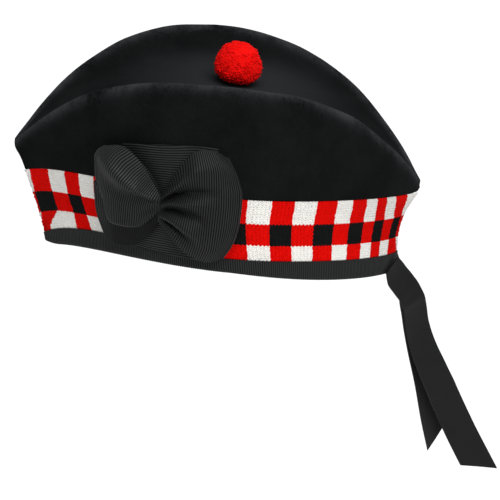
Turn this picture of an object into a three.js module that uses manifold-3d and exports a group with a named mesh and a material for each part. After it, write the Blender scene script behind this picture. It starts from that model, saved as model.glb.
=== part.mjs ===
// A glengarry: a milled wool bonnet with a diced band, a ribbon cockade, a toorie and two ribbon tails.
// Millimetres. +Z is up, -Y is the front and +X the wearer's left. The origin is the middle of the rim,
// level with the back of the rim.
import * as THREE from 'three';
import { mergeVertices } from 'three/addons/utils/BufferGeometryUtils.js';
import Module from 'manifold-3d';

// Driving dimensions
const RIM_LENGTH = 200;
const RIM_WIDTH = 156;
const RIM_RISE = 16;
const BINDING_HEIGHT = 9.2;
const BAND_HEIGHT = 43;
const RIDGE_HEIGHT = 115;
const RIDGE_SPACING = 124;
const TROUGH_DEPTH = 15;
const FELT = 2.2;
const KNIT = 2;
const RIBBON = 1;
const GAP = 0.35;
const HEM_PROUD = 1;
const TAIL_WIDTH = 19;
const TOORIE_RADIUS = 13;
const TOORIE_HEIGHT = 23;
const TOORIE_Y = -2;
const COCKADE_Y = -37.2;
const COCKADE_Z = 50;

const table = (columns, rows) =>
  rows.map((row) => Object.fromEntries(columns.map((name, i) => [name, row[i]])));

// The hat in level rings from the rim up to the ridges. nose, nape and half are how far a ring reaches past
// the rim at the front, the back and each side. low, side and tail are its heights at the front, the sides
// and the back, with side counted from the raised side of the rim. noseTaper and napeTaper say how sharply
// its ends are pointed, noseArch and napeArch how late it drops towards them.
const RIDGE_INSET = (RIDGE_SPACING - RIM_WIDTH) / 2;
const RIDGE_RISE = RIDGE_HEIGHT - RIM_RISE;
const LEVELS = table(
  ['nose', 'nape', 'half', 'low', 'side', 'tail', 'noseTaper', 'napeTaper', 'noseArch', 'napeArch'],
  [
    [-0.6, 0, 0, -4.2, 1.8, 0.4, 2.45, 1.7, 2.35, 1.45], // rim
    [0.6, -1.5, 0, 2.5, BINDING_HEIGHT, 10.5, 2.6, 1.7, 3.2, 2], // top of the binding
    [9, -0.7, 0.4, 25, 29, 32, 2.8, 1.7, 2.2, 2], // middle of the band
    [14.8, 5.4, 0, 38.5, BAND_HEIGHT, 47.5, 2.8, 1.7, 2.2, 2.05], // hem of the crown, top of the band
    [18, 7, 1.2, 45.5, 62, 50.6, 2.6, 1.7, 2.2, 2.15], // lower wall
    [21.4, 7.4, -3, 51, 82, 53.4, 2.3, 1.7, 2.5, 2.35], // upper wall
    [22.2, 6.8, -10, 54.4, RIDGE_RISE - 4, 54.8, 2.05, 1.7, 2.7, 2.5], // shoulder under the ridge
    [22, 5.8, RIDGE_INSET, 55.6, RIDGE_RISE, 55, 1.93, 1.7, 2.8, 2.6], // ridge
  ],
);
const RIM = 0;
const BINDING_TOP = 1;
const HEM = 3;
const SHOULDER = 6;
const RIDGE = 7;

// Mesh counts
const STATIONS = 30; // along each side, front to back
const STATION_SPREAD = 0.6; // how evenly the stations lie along the length
const CROWN_STEPS = 8; // hem to ridge
const BAND_STEPS = 3; // binding to hem
const TROUGH_STEPS = 10; // ridge to ridge

// Where the surfaces lie, counted outwards from the wall of the band
const TIP_REACH = 1.2; // a pointed end moves this much further than the sides
const BAND_FOOT = 0.2; // level of the band's lower edge, inside the fold of the binding
const BINDING_FLOOR = 0.14; // level of the inside of that fold
const BINDING_ROUND = 0.06;
const HEM_SPLIT = 0.012; // half the seam between band and crown, in levels
const BINDING_FACE = GAP + RIBBON;
const BACKING_MID = BINDING_FACE + GAP + RIBBON / 2;
const BOW_MID = BACKING_MID + RIBBON + GAP;

const TROUGH_CURVE = 4; // how flat the floor of the trough is
const smooth = (low, high, value) => THREE.MathUtils.smoothstep(value, low, high);

// A row between two rows of a table, on a curve through all of them.
function between(rows, t) {
  const last = rows.length - 1;
  const i = Math.min(Math.floor(t), last - 1);
  const f = t - i;
  const near = (k) => rows[THREE.MathUtils.clamp(k, 0, last)];
  const row = {};
  for (const name of Object.keys(rows[0])) {
    const [a, b, c, d] = [i - 1, i, i + 1, i + 2].map((k) => near(k)[name]);
    row[name] = b + 0.5 * f * (c - a + f * (2 * a - 5 * b + 4 * c - d + f * (3 * (b - c) + d - a)));
  }
  return row;
}

// A point of the wall at a level, moved outwards by out. along runs from 1 at the front to -1 at the back,
// and side is 1 on the left and -1 on the right.
function wallPoint(level, along, side, out) {
  const row = between(LEVELS, level);
  const front = -RIM_LENGTH / 2 - row.nose - TIP_REACH * out;
  const back = RIM_LENGTH / 2 + row.nape + TIP_REACH * out;
  const taper = (row.noseTaper * (1 + along) + row.napeTaper * (1 - along)) / 2;
  const half = RIM_WIDTH / 2 + row.half + out;
  const sideHeight = RIM_RISE + row.side;
  const [endHeight, arch] = along > 0 ? [row.low, row.noseArch] : [row.tail, row.napeArch];
  return new THREE.Vector3(
    side * half * Math.sqrt(Math.max(1 - along * along, 0)) ** taper,
    (front + back) / 2 - (along * (back - front)) / 2,
    sideHeight + (endHeight - sideHeight) * Math.abs(along) ** arch,
  );
}

const stations = Array.from({ length: STATIONS + 1 }, (_, i) => {
  const u = i / STATIONS;
  return STATION_SPREAD * (1 - 2 * u) + (1 - STATION_SPREAD) * Math.cos(Math.PI * u);
});

// A whole ring: front tip, left side, back tip, right side.
function ring(level, out, drop = 0) {
  const left = stations.map((along) => wallPoint(level, along, 1, out));
  const right = stations.slice(1, -1).reverse().map((along) => wallPoint(level, along, -1, out));
  const points = [...left, ...right];
  points.forEach((point) => (point.z -= drop));
  return points;
}

function geometryOf(points, index) {
  const geometry = new THREE.BufferGeometry().setFromPoints(points);
  geometry.setIndex(index);
  geometry.computeVertexNormals();
  return geometry;
}

// Quads between two rings of points that start at a and b, wound to face outwards going up.
function joinRings(index, a, b, count) {
  for (let i = 0; i < count; i++) {
    const j = (i + 1) % count;
    index.push(a + i, a + j, b + j, a + i, b + j, b + i);
  }
}

// A band round the hat whose section is the closed loop of [level, out] corners.
function hoop(section) {
  const rings = section.map(([level, out]) => ring(level, out));
  const count = rings[0].length;
  const index = [];
  rings.forEach((_, k) => joinRings(index, k * count, ((k + 1) % rings.length) * count, count));
  return geometryOf(rings.flat(), index);
}

// Crown: a felt shell. Each of its two faces is a stack of rings closed by the trough between the ridges.
const hemProud = (level) => HEM_PROUD * smooth(0, 1, HEM + 1 - level);

function crownFace(points, index, inset) {
  const first = points.length;
  const count = 2 * STATIONS;
  for (let k = 0; k <= CROWN_STEPS; k++) {
    const level = THREE.MathUtils.lerp(HEM + HEM_SPLIT, RIDGE, k / CROWN_STEPS);
    const drop = inset * smooth(SHOULDER - 1, RIDGE, level);
    points.push(...ring(level, hemProud(level) - inset, drop));
    if (k > 0) joinRings(index, first + (k - 1) * count, first + k * count, count);
  }
  const ridge = first + CROWN_STEPS * count;
  const rows = [];
  for (let i = 1; i < STATIONS; i++) {
    const edge = points[ridge + i];
    const depth = TROUGH_DEPTH * (1 - stations[i] ** 2);
    const row = [ridge + i];
    for (let j = 1; j < TROUGH_STEPS; j++) {
      const across = 1 - (2 * j) / TROUGH_STEPS;
      const rise = Math.abs(across) ** TROUGH_CURVE;
      row.push(points.length);
      points.push(new THREE.Vector3(across * edge.x, edge.y, edge.z - depth * (1 - rise)));
    }
    row.push(ridge + count - i);
    rows.push(row);
  }
  for (let j = 0; j < TROUGH_STEPS; j++) {
    index.push(ridge, rows[0][j], rows[0][j + 1]);
    index.push(rows.at(-1)[j], ridge + STATIONS, rows.at(-1)[j + 1]);
    for (let i = 0; i + 1 < rows.length; i++) {
      const [a, b] = [rows[i], rows[i + 1]];
      index.push(a[j], b[j], b[j + 1], a[j], b[j + 1], a[j + 1]);
    }
  }
  return first;
}

function crownGeometry() {
  const points = [];
  const index = [];
  const outer = crownFace(points, index, 0);
  const lining = [];
  const inner = crownFace(points, lining, FELT);
  for (let i = 0; i < lining.length; i += 3) index.push(lining[i], lining[i + 2], lining[i + 1]);
  joinRings(index, inner, outer, 2 * STATIONS);
  return geometryOf(points, index);
}

// Diced band: a knitted wall from the fold of the binding up to the hem.
function bandGeometry() {
  const top = HEM - HEM_SPLIT;
  const levels = [BAND_FOOT];
  for (let k = 0; k <= BAND_STEPS; k++) levels.push(THREE.MathUtils.lerp(BINDING_TOP, top, k / BAND_STEPS));
  const outside = levels.map((level) => [level, 0]);
  const inside = levels.map((level) => [level, -KNIT]).reverse();
  return hoop([...outside, ...inside]);
}

// Rim binding: ribbon folded under the edge of the band, as high inside as outside.
function bindingGeometry() {
  const inFace = -KNIT - GAP - RIBBON;
  return hoop([
    [BINDING_ROUND, BINDING_FACE],
    [BINDING_TOP, BINDING_FACE],
    [BINDING_TOP, GAP],
    [BINDING_FLOOR, GAP],
    [BINDING_FLOOR, -KNIT - GAP],
    [BINDING_TOP, -KNIT - GAP],
    [BINDING_TOP, inFace],
    [BINDING_ROUND, inFace],
    [RIM, inFace + RIBBON / 2],
    [RIM, BINDING_FACE - RIBBON / 2],
  ]);
}

// The wall of the left side as a height field: x over y and z, found by halving the span of levels.
const HALVINGS = 24;

function wallX(y, z) {
  const alongAt = (level) => {
    const [front, back] = [1, -1].map((end) => wallPoint(level, end, 1, 0).y);
    return THREE.MathUtils.clamp((front + back - 2 * y) / (back - front), -1, 1);
  };
  let [low, high] = [RIM, SHOULDER];
  for (let step = 0; step < HALVINGS; step++) {
    const level = (low + high) / 2;
    if (wallPoint(level, alongAt(level), 1, 0).z < z) low = level;
    else high = level;
  }
  return wallPoint(low, alongAt(low), 1, 0).x;
}

// A point that stands out from the left wall along its normal.
function overWall(y, z, out) {
  const x = wallX(y, z);
  const normal = new THREE.Vector3(1, x - wallX(y + 1, z), x - wallX(y, z + 1)).normalize();
  return new THREE.Vector3(x, y, z).addScaledVector(normal, out);
}

// A sheet of even thickness about a grid of points. A closed grid runs round on itself along its rows.
// Its front faces the side from which its rows and columns turn anticlockwise.
function sheet(grid, thickness, closed) {
  const rows = grid.length;
  const columns = grid[0].length;
  const at = (i, j) => {
    const row = closed ? (i + rows) % rows : THREE.MathUtils.clamp(i, 0, rows - 1);
    return grid[row][THREE.MathUtils.clamp(j, 0, columns - 1)];
  };
  const faces = [thickness / 2, -thickness / 2].map((out) =>
    grid.flatMap((row, i) =>
      row.map((point, j) => {
        const down = at(i + 1, j).clone().sub(at(i - 1, j));
        const across = at(i, j + 1).clone().sub(at(i, j - 1));
        return point.clone().addScaledVector(down.cross(across).normalize(), out);
      }),
    ),
  );
  const back = rows * columns;
  const index = [];
  const quad = (a, b, c, d) => index.push(a, b, c, a, c, d);
  for (let i = 0; i < (closed ? rows : rows - 1); i++) {
    const [here, next] = [i * columns, ((i + 1) % rows) * columns];
    for (let j = 0; j + 1 < columns; j++) {
      quad(here + j, next + j, next + j + 1, here + j + 1);
      quad(back + here + j, back + here + j + 1, back + next + j + 1, back + next + j);
    }
    const edge = columns - 1;
    quad(here, back + here, back + next, next);
    quad(here + edge, next + edge, back + next + edge, back + here + edge);
  }
  if (!closed) {
    const foot = (rows - 1) * columns;
    for (let j = 0; j + 1 < columns; j++) {
      quad(j, j + 1, back + j + 1, back + j);
      quad(foot + j, back + foot + j, back + foot + j + 1, foot + j + 1);
    }
  }
  return geometryOf(faces.flat(), index);
}

// Cockade backing: a flat length of wide ribbon over the band, from the crown down onto the binding.
const BACKING = { front: -61, back: -12, topFront: 78, topBack: 86.5, arch: 1.8, lap: 2.5, columns: 10, rows: 12 };

function backingGeometry() {
  const grid = [];
  for (let i = 0; i <= BACKING.rows; i++) {
    const row = [];
    for (let j = 0; j <= BACKING.columns; j++) {
      const y = THREE.MathUtils.lerp(BACKING.front, BACKING.back, j / BACKING.columns);
      const bottom = wallPoint(BINDING_TOP, (-2 * y) / RIM_LENGTH, 1, 0).z - BACKING.lap;
      const across = j / BACKING.columns;
      const arch = 4 * BACKING.arch * across * (1 - across);
      const top = THREE.MathUtils.lerp(BACKING.topFront, BACKING.topBack, across) + arch;
      const z = THREE.MathUtils.lerp(top, bottom, i / BACKING.rows);
      row.push(overWall(y, z, BACKING_MID));
    }
    grid.push(row);
  }
  return sheet(grid, RIBBON, false);
}

// Cockade bow: one closed loop of wide ribbon, pinched to the backing in its middle. Its front is folded along
// lines that fan out from the pinch, listed from the upper edge to the lower edge. A line gives three rows for
// its places at BOW.shares of a loop: along is how far from the pinch towards the end of the loop, up how far
// above it, and out how far the front stands off the back there.
const BOW = {
  shares: [0, 0.2, 0.45, 0.75, 1],
  bulge: 0.4, // how far a turned end bulges, as a share of its depth
  narrow: 0.15, // how much narrower the back is than the front
  front: 9, // rows along a front
  turn: 2, // within a turned end
  back: 7, // along a back
  fill: 2, // columns from one line to the next
};
const fold = (along, up, out) => along.map((_, i) => new THREE.Vector3(along[i], up[i], out[i]));
const LOOPS = [
  {
    side: 1,
    lines: [
      fold([0, 4.5, 13, 22, 29.5], [5, 17, 32.3, 35.6, 33], [1.9, 4, 5, 4.5, 3.5]),
      fold([0, 7.5, 16, 26.5, 34], [3.7, 15.4, 25.3, 27, 25.5], [2.4, 8.5, 11, 8.5, 4.5]),
      fold([0, 8, 17, 28, 37], [2.4, 10.5, 13.7, 16, 17], [2, 4.2, 7, 8, 4.8]),
      fold([0, 8, 17.5, 28.5, 37.5], [0.5, 5.5, 7, 8, 8], [2.7, 7.5, 10.5, 9.5, 5]),
      fold([0, 8, 17.6, 28.5, 37.3], [-2, 0.3, -0.5, -4, -3], [2, 3.6, 7, 9, 5]),
      fold([0, 8, 18, 28.5, 36.2], [-4.2, -4.5, -8, -11.5, -11], [2.2, 6.5, 9.5, 9, 5]),
      fold([0, 8.6, 18, 28.5, 34.6], [-5.8, -8.6, -13, -17, -17], [2, 3.8, 7.5, 8.5, 4.5]),
      fold([0, 7, 17, 26.5, 32.8], [-8, -12.3, -20.6, -24, -22], [1.9, 5, 7, 6, 3.5]),
    ],
  },
  {
    side: -1,
    lines: [
      fold([0, 4.7, 11, 20, 29.5], [5, 15.1, 23.4, 28.8, 26], [1.9, 3.4, 4.2, 4.2, 3.2]),
      fold([0, 6, 14, 23.5, 31.6], [3.7, 12, 19.6, 24.6, 23.4], [2.4, 6.2, 8, 7.2, 4.3]),
      fold([0, 6.5, 15.5, 24.5, 32.3], [2.4, 8.6, 15.4, 19.8, 20], [2, 9.5, 12.5, 10.5, 5]),
      fold([0, 6.8, 15.5, 24.5, 31.4], [0.5, -1, -1, 1, 2], [2.7, 8, 10.5, 9.5, 5]),
      fold([0, 6, 14.5, 22, 29.2], [-2, -10, -12, -12.4, -5], [2, 8.5, 11, 9, 4.8]),
      fold([0, 5.8, 14.5, 22, 27.8], [-4.2, -11.6, -13.6, -15, -10], [2.2, 2.8, 3, 3.2, 3.4]),
      fold([0, 5, 13, 21, 25.6], [-5.8, -15.5, -22, -23.5, -21.5], [2, 2.5, 2.7, 2.9, 3]),
      fold([0, 3.6, 10, 18.5, 23], [-8, -17, -26.3, -29.6, -29.4], [1.9, 2.2, 2.4, 2.6, 2.6]),
    ],
  },
];

// The place of a line at a share of its loop, on a curve through its points.
function lineAt(line, share) {
  const last = BOW.shares.length - 2;
  const found = BOW.shares.findLastIndex((value) => value <= share);
  const i = THREE.MathUtils.clamp(found, 0, last);
  const f = (share - BOW.shares[i]) / (BOW.shares[i + 1] - BOW.shares[i]);
  const row = between(line, i + f);
  return new THREE.Vector3(row.x, row.y, row.z);
}

// A row of the bow across the ribbon. flat takes it from the front, 0, round the turned end to the back, 1.
function bowRow({ side, lines }, share, flat) {
  const row = [];
  const places = lines.map((line) => lineAt(line, share));
  const count = (lines.length - 1) * BOW.fill;
  for (let j = 0; j <= count; j++) {
    const k = Math.min(Math.floor(j / BOW.fill), lines.length - 2);
    const place = places[k].clone().lerp(places[k + 1], j / BOW.fill - k);
    const along = place.x + BOW.bulge * place.z * Math.sin(Math.PI * flat);
    const turned = (1 - Math.cos(Math.PI * flat)) / 2;
    const up = place.y * (1 - BOW.narrow * turned);
    row.push(overWall(COCKADE_Y + side * along, COCKADE_Z + up, BOW_MID + place.z * (1 - turned)));
  }
  return row;
}

function bowGeometry() {
  const half = (loop) => {
    const rows = [];
    for (let i = 0; i <= BOW.front; i++) rows.push(bowRow(loop, i / BOW.front, 0));
    for (let i = 1; i <= BOW.turn; i++) rows.push(bowRow(loop, 1, i / (BOW.turn + 1)));
    for (let i = BOW.back; i >= 0; i--) rows.push(bowRow(loop, i / BOW.back, 1));
    return rows;
  };
  const [right, left] = LOOPS.map(half);
  const grid = [...right, ...left.reverse().slice(1, -1)];
  grid.forEach((row) => row.reverse());
  return sheet(grid, RIBBON, true);
}

// Tails: the two ends of the binding ribbon, from the back of the rim down. x, y and z are the middle of the
// ribbon, lean the slope of its width in side view and turn how far its rear edge swings to the left.
const TAILS = {
  left: {
    slant: 7.5,
    rows: table(
      ['x', 'y', 'z', 'lean', 'turn'],
      [
        [13.5, 96, 6.5, 42, -52],
        [12, 99.6, 0, 42, -50],
        [10.5, 104.3, -5.5, 38, -48],
        [9.5, 109, -11.5, 28, -47],
        [8.5, 112.8, -20, 12, -44],
        [8, 115.7, -31, 8, -42],
        [7.5, 121, -44, 14, -38],
        [6.5, 129.7, -60, 25, -32],
        [5, 139.8, -78, 30, -26],
        [4, 151, -97, 31, -24],
        [3, 164.6, -118.5, 32, -20],
      ],
    ),
  },
  right: {
    slant: 9,
    rows: table(
      ['x', 'y', 'z', 'lean', 'turn'],
      [
        [-13.5, 96.2, 5.5, 42, 52],
        [-9.5, 99.5, -1.5, 42, 66],
        [-6, 103.2, -8.5, 40, 88],
        [-4, 107.5, -15.5, 32, 112],
        [-3, 113.4, -25, 20, 134],
        [-3, 119.2, -44, 17, 138],
        [-3, 128, -66.5, 17, 152],
        [-4, 135.1, -89, 17, 158],
        [-4.6, 139.5, -102, 17, 160],
      ],
    ),
  },
};
const TAIL_STEPS = 26;
const TAIL_COLUMNS = 4;
const SLANT_SHARE = 0.25; // the share of the tail in which its rows turn to the slant of its end

function tailGeometry({ rows, slant }) {
  const middle = (t) => new THREE.Vector3().copy(between(rows, t));
  const grid = [];
  for (let i = 0; i <= TAIL_STEPS; i++) {
    const share = i / TAIL_STEPS;
    const t = share * (rows.length - 1);
    const { lean, turn } = between(rows, t);
    const [rise, swing] = [lean, turn].map(THREE.MathUtils.degToRad);
    const width = new THREE.Vector3(
      Math.sin(swing),
      Math.cos(swing) * Math.cos(rise),
      Math.cos(swing) * Math.sin(rise),
    );
    const ahead = middle(t).sub(middle(t - 0.1)).normalize();
    const slip = slant * smooth(1 - SLANT_SHARE, 1, share);
    const row = [];
    for (let j = 0; j <= TAIL_COLUMNS; j++) {
      const place = (2 * j) / TAIL_COLUMNS - 1;
      const point = middle(t).addScaledVector(width, (place * TAIL_WIDTH) / 2);
      row.push(point.addScaledVector(ahead, place * slip));
    }
    grid.push(row);
  }
  return sheet(grid, RIBBON, false);
}

// Toorie: locks of yarn fused to a round head, resting in the trough.
const wasm = await Module();
wasm.setup();
const TOORIE = {
  head: 0.86,
  locks: 54,
  lockWidth: 3,
  lockLength: 3.6,
  // its clipped outline against a ball: share of its height from the middle, and width there
  dome: [[-1, 1.15], [-0.83, 1.25], [-0.64, 1.2], [-0.4, 1.1], [0, 0.985], [0.5, 0.92], [0.79, 1.03], [1, 1.08]],
};

function domeWidth(share) {
  const rows = TOORIE.dome;
  const i = Math.max(0, Math.min(rows.length - 2, rows.filter(([at]) => at <= share).length - 1));
  const [[low, narrow], [high, wide]] = [rows[i], rows[i + 1]];
  const part = Math.max(0, Math.min(1, (share - low) / (high - low)));
  return narrow + (wide - narrow) * part;
}

function solidOf(geometry) {
  geometry.deleteAttribute('normal');
  geometry.deleteAttribute('uv');
  const merged = mergeVertices(geometry, 1e-4);
  const vertProperties = new Float32Array(merged.attributes.position.array);
  const triVerts = new Uint32Array(merged.index.array);
  return new wasm.Manifold(new wasm.Mesh({ numProp: 3, vertProperties, triVerts }));
}

function toorieGeometry() {
  let body = solidOf(new THREE.IcosahedronGeometry(TOORIE_RADIUS * TOORIE.head, 2));
  const golden = Math.PI * (3 - Math.sqrt(5));
  for (let i = 0; i < TOORIE.locks; i++) {
    const height = 1 - (2 * i + 1) / TOORIE.locks;
    const spoke = Math.sqrt(1 - height * height);
    const outward = new THREE.Vector3(spoke * Math.cos(i * golden), spoke * Math.sin(i * golden), height);
    const lock = new THREE.IcosahedronGeometry(1, 0);
    lock.scale(TOORIE.lockWidth, TOORIE.lockWidth, TOORIE.lockLength);
    lock.applyQuaternion(new THREE.Quaternion().setFromUnitVectors(new THREE.Vector3(0, 0, 1), outward));
    const seat = outward.multiplyScalar(TOORIE_RADIUS - TOORIE.lockLength);
    lock.translate(seat.x, seat.y, seat.z);
    body = body.add(solidOf(lock));
  }
  const mesh = body.getMesh();
  const geometry = new THREE.BufferGeometry();
  geometry.setAttribute('position', new THREE.BufferAttribute(mesh.vertProperties, 3));
  geometry.setIndex(new THREE.BufferAttribute(mesh.triVerts, 1));
  geometry.scale(1, 1, TOORIE_HEIGHT / (2 * TOORIE_RADIUS));
  const place = geometry.attributes.position;
  for (let i = 0; i < place.count; i++) {
    const width = domeWidth((2 * place.getZ(i)) / TOORIE_HEIGHT);
    place.setXY(i, place.getX(i) * width, place.getY(i) * width);
  }
  geometry.computeVertexNormals();
  return geometry;
}

const cloth = (color, roughness) => new THREE.MeshStandardMaterial({ color, roughness, metalness: 0 });
const wool = cloth('#17181a', 0.95);
const knit = cloth('#d8180f', 0.9);
const ribbon = cloth('#1b1c1d', 0.7);
const yarn = cloth('#e01410', 0.95);

const glengarry = new THREE.Group();

function addPiece(name, geometry, material) {
  const piece = new THREE.Mesh(geometry, material);
  piece.name = name;
  glengarry.add(piece);
  return piece;
}

addPiece('crown', crownGeometry(), wool);
addPiece('diced_band', bandGeometry(), knit);
addPiece('rim_binding', bindingGeometry(), ribbon);
addPiece('cockade_backing', backingGeometry(), ribbon);
addPiece('cockade_bow', bowGeometry(), ribbon);
addPiece('tail_left', tailGeometry(TAILS.left), ribbon);
addPiece('tail_right', tailGeometry(TAILS.right), ribbon);

const toorieAlong = (-2 * TOORIE_Y) / RIM_LENGTH;
const trough = wallPoint(RIDGE, toorieAlong, 1, 0).z - TROUGH_DEPTH;
const toorie = addPiece('toorie', toorieGeometry(), yarn);
toorie.geometry.computeBoundingBox();
toorie.position.set(0, TOORIE_Y, trough + GAP - toorie.geometry.boundingBox.min.z);

export default glengarry;
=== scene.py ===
# A glengarry in its cloth: milled wool, knitted dice, ribbon, and a toorie of cut yarn.
# Lengths are mm until a mesh is made. -Y is the front, +X the wearer's left and +Z up.
import math

import bpy
import numpy as np
from mathutils import Matrix, Vector


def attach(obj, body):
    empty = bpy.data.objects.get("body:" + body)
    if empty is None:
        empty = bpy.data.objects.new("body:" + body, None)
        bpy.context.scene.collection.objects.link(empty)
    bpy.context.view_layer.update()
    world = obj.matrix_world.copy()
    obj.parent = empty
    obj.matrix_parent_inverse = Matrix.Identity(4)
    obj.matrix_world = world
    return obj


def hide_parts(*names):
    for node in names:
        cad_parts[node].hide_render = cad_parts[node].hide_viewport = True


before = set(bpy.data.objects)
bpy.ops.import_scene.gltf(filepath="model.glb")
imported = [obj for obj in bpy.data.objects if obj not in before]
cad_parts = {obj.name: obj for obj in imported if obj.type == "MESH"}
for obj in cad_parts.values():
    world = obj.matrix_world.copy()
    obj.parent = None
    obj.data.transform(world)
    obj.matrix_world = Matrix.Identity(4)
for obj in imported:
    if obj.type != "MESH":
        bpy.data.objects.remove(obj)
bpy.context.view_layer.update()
mm = 0.001
chance = np.random.default_rng(11)  # one seed, so every run gives the same hat

# The camera, at the photograph's angle
shot = {
    "yaw": -3.2,
    "pitch": 18.0,
    "roll": 6.3,
    "aroundPoint": (0, 0, 50),
    "distance": 1320,
    "focus": 2345,  # in pixels of a frame of 500
    "axisPixel": (231.0, 169.2),
    "framePixels": 500,
    "sensor": 36,
    "farClip": 200000,
}


def makeCamera(s):
    yaw, pitch, roll = (math.radians(s[k]) for k in ("yaw", "pitch", "roll"))
    back = Vector((math.cos(yaw) * math.cos(pitch), math.sin(yaw) * math.cos(pitch), math.sin(pitch)))
    level = Vector((-math.sin(yaw), math.cos(yaw), 0))
    rise = back.cross(level)
    right = math.cos(roll) * level + math.sin(roll) * rise
    up = math.cos(roll) * rise - math.sin(roll) * level
    middle = s["framePixels"] / 2
    asidePixels, belowPixels = (middle - pixel for pixel in s["axisPixel"])
    aim = right * asidePixels / s["focus"] - up * belowPixels / s["focus"] - back
    backward = -aim.normalized()
    sideways = up.cross(backward).normalized()
    turn = Matrix((sideways, backward.cross(sideways), backward)).transposed().to_4x4()
    eye = (Vector(s["aroundPoint"]) + back * s["distance"]) * mm
    data = bpy.data.cameras.new("photoCamera")
    data.sensor_width = s["sensor"]
    data.lens = s["sensor"] * s["focus"] / s["framePixels"]
    data.clip_end = s["farClip"] * mm
    camera = bpy.data.objects.new("photoCamera", data)
    camera.matrix_world = Matrix.Translation(eye) @ turn
    bpy.context.scene.collection.objects.link(camera)
    bpy.context.scene.camera = camera


makeCamera(shot)
print("camera set")

# Soft studio light over a plain pale floor, far enough below to keep the hat's shadow out of the picture
studio = {
    "floorHeight": -600,
    "floorSize": 60000,
    "floorColor": "#f5f5f4",
    "mottleColor": "#f2f2f1",
    "mottleSize": 400,
    "skyColor": "#f3f6fa",
    "skyStrength": 0.27,
    "overheadStrength": 3.7,
    "overheadSoftness": 50,  # degrees across
    "overheadTilt": (33, -7),  # towards the camera's side, towards the front
    "sideStrength": 2.5,
    "sideSize": 1000,
    "sidePlace": (1650, 350, 750),
    "sideAim": (0, 0, 40),
}


def linear(hexColor):
    parts = [int(hexColor[i:i + 2], 16) / 255 for i in (1, 3, 5)]
    return tuple(c / 12.92 if c <= 0.04045 else ((c + 0.055) / 1.055) ** 2.4 for c in parts) + (1.0,)


def addNode(tree, kind, settings=None, links=None):
    node = tree.nodes.new("ShaderNode" + kind)
    for key, value in (settings or {}).items():
        if isinstance(key, str) and hasattr(node, key):
            setattr(node, key, value)
        else:
            node.inputs[key].default_value = value
    for socket, source in (links or {}).items():
        tree.links.new(source, node.inputs[socket])
    return node


def newMaterial(name):
    material = bpy.data.materials.new(name)
    material.use_nodes = True
    material.node_tree.nodes.clear()
    return material, material.node_tree


# Matt studio paper: an even pale floor with a little mottling
def studioPaper():
    material, tree = newMaterial("studioPaper")
    place = addNode(tree, "TexCoord").outputs["Object"]
    cloud = addNode(tree, "TexNoise", {"Scale": 1000 / studio["mottleSize"], "Detail": 2.0},
                    {"Vector": place})
    color = addNode(tree, "MixRGB", {
        "Color1": linear(studio["floorColor"]),
        "Color2": linear(studio["mottleColor"]),
    }, {"Fac": cloud.outputs["Fac"]})
    paper = addNode(tree, "BsdfPrincipled", {"Roughness": 0.95, "Specular IOR Level": 0.1},
                    {"Base Color": color.outputs["Color"]})
    addNode(tree, "OutputMaterial", {}, {"Surface": paper.outputs["BSDF"]})
    return material


def makeStudio(s):
    world = bpy.data.worlds.new("studioSky")
    bpy.context.scene.world = world
    world.use_nodes = True
    sky = world.node_tree.nodes["Background"]
    sky.inputs["Color"].default_value = linear(s["skyColor"])
    sky.inputs["Strength"].default_value = s["skyStrength"]
    overhead = bpy.data.lights.new("overheadLight", "SUN")
    overhead.energy = s["overheadStrength"]
    overhead.angle = math.radians(s["overheadSoftness"])
    overheadLamp = bpy.data.objects.new("overheadLight", overhead)
    toCamera, toFront = (math.radians(a) for a in s["overheadTilt"])
    overheadLamp.rotation_euler = (toFront, toCamera, 0)
    side = bpy.data.lights.new("sideSoftbox", "AREA")
    side.shape = "DISK"
    side.size = s["sideSize"] * mm
    side.energy = s["sideStrength"]
    sideLamp = bpy.data.objects.new("sideSoftbox", side)
    sideLamp.location = [length * mm for length in s["sidePlace"]]
    sideAim = Vector([length * mm for length in s["sideAim"]]) - sideLamp.location
    sideLamp.rotation_euler = sideAim.to_track_quat("-Z", "Y").to_euler()
    sideLamp.visible_camera = False
    half = s["floorSize"] * mm / 2
    mesh = bpy.data.meshes.new("studioFloor")
    corners = [(-half, -half, 0), (half, -half, 0), (half, half, 0), (-half, half, 0)]
    mesh.from_pydata(corners, [], [(0, 1, 2, 3)])
    mesh.materials.append(studioPaper())
    floor = bpy.data.objects.new("studioFloor", mesh)
    floor.location.z = s["floorHeight"] * mm
    for thing in (overheadLamp, sideLamp, floor):
        bpy.context.scene.collection.objects.link(thing)
    bpy.context.scene.view_settings.view_transform = "Standard"


makeStudio(studio)
print("studio lit")

# Helpers for shapes and meshes

cordSink = 0.6  # share of a ribbon cord's height that lies inside the cloth


def smoothStep(low, high, value):
    t = np.clip((value - low) / (high - low), 0, 1)
    return t * t * (3 - 2 * t)


# 1 in the middle, falling to nothing on both sides
def bell(value, spread):
    return np.exp(-(value / spread) ** 2)


# Rows between the rows of a table, on a curve through all of them
def between(rows, place):
    rows = np.asarray(rows, float)
    place = np.asarray(place, float)
    last = len(rows) - 1
    i = np.clip(np.floor(place).astype(int), 0, last - 1)
    f = (place - i)[..., None]
    a, b, c, d = (rows[np.clip(i + k, 0, last)] for k in (-1, 0, 1, 2))
    return b + 0.5 * f * (c - a + f * (2 * a - 5 * b + 4 * c - d + f * (3 * (b - c) + d - a)))


def unit(vectors):
    return vectors / np.maximum(np.linalg.norm(vectors, axis=-1, keepdims=True), 1e-9)


# Distance along a row of points, from its first
def lengthAlong(points):
    return np.concatenate([[0], np.cumsum(np.linalg.norm(np.diff(points, axis=0), axis=1))])


# Normals of a grid of points, on the side from which rows and columns turn anticlockwise
def gridNormals(grid, closed=False):
    if closed:
        down = np.roll(grid, -1, axis=0) - np.roll(grid, 1, axis=0)
    else:
        down = np.gradient(grid, axis=0)
    return unit(np.cross(down, np.gradient(grid, axis=1)))


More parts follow.
